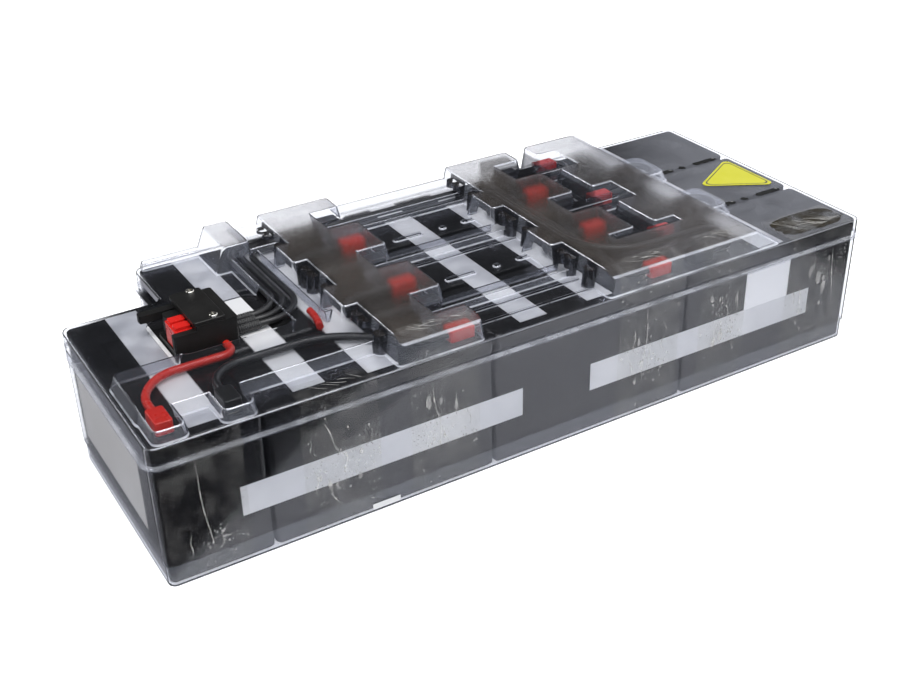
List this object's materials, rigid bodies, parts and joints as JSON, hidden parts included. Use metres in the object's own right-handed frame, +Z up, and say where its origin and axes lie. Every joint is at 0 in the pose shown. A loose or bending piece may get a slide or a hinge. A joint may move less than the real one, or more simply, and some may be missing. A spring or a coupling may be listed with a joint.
{
  "type": "ups battery cartridge",
  "caption": "Row of sealed batteries wired in series inside a clear vacuum-formed clamshell with raised cable domes, a plug-in connector and tape over the front.",
  "frame": {"origin": "centre of the clamshell's footprint, on the surface it stands on", "axes": "+X along the row of batteries towards the end away from the connector, +Y towards the back, +Z up"},
  "size_m": [0.5308, 0.2157, 0.1195],
  "materials": {
    "battery_case": "fine satin black ABS",
    "clear_sheet": "clear vacuum-formed PET sheet",
    "clear_tape": "clear packing tape",
    "terminal_metal": "tinned brass",
    "red_boot": "soft red vinyl",
    "black_boot": "soft black vinyl",
    "black_cable": "black cable jacket",
    "red_cable": "red cable jacket",
    "connector_black": "black moulded nylon",
    "connector_red": "red moulded nylon",
    "screw_steel": "zinc plated",
    "white_film": "white film tape",
    "yellow_film": "plain yellow vinyl"
  },
  "bodies": {
    "root": {"battery_01": "battery_case", "battery_02": "battery_case", "battery_03": "battery_case", "battery_04": "battery_case", "battery_05": "battery_case", "battery_06": "battery_case", "battery_07": "battery_case", "battery_08": "battery_case", "battery_09": "battery_case", "battery_10": "battery_case", "bottom_tray": "clear_sheet", "top_lid": "clear_sheet", "terminal_tabs_positive": "terminal_metal", "terminal_tabs_negative": "terminal_metal", "red_boots_column_1": "red_boot", "black_boots_column_1": "black_boot", "red_boots_column_2": "red_boot", "black_boots_column_2": "black_boot", "red_boots_column_3": "red_boot", "black_boots_column_3": "black_boot", "red_boots_column_4": "red_boot", "black_boots_column_4": "black_boot", "series_loop_2_1": "black_cable", "series_loop_2_2": "black_cable", "series_loop_3_1": "black_cable", "series_loop_3_2": "black_cable", "series_loop_4_1": "black_cable", "series_loop_4_2": "black_cable", "red_lead": "red_cable", "link_lead": "black_cable", "black_lead_1": "black_cable", "black_lead_2": "black_cable", "black_lead_3": "black_cable", "column_jumper": "black_cable", "connector_body": "connector_black", "connector_red_insert": "connector_red", "connector_cover": "connector_black", "connector_screw_1": "screw_steel", "connector_screw_2": "screw_steel", "top_strap_1": "white_film", "top_strap_2": "white_film", "top_strap_3": "white_film", "top_strap_4": "white_film", "top_strap_5": "white_film", "top_strap_6": "white_film", "front_strap_left": "white_film", "front_strap_right": "white_film", "front_label": "white_film", "end_label": "white_film", "triangle_sticker": "yellow_film", "packing_tape_1": "clear_tape", "packing_tape_2": "clear_tape", "packing_tape_3": "clear_tape", "packing_tape_4": "clear_tape", "packing_tape_5": "clear_tape", "packing_tape_6": "clear_tape"}
  },
  "joints": []
}
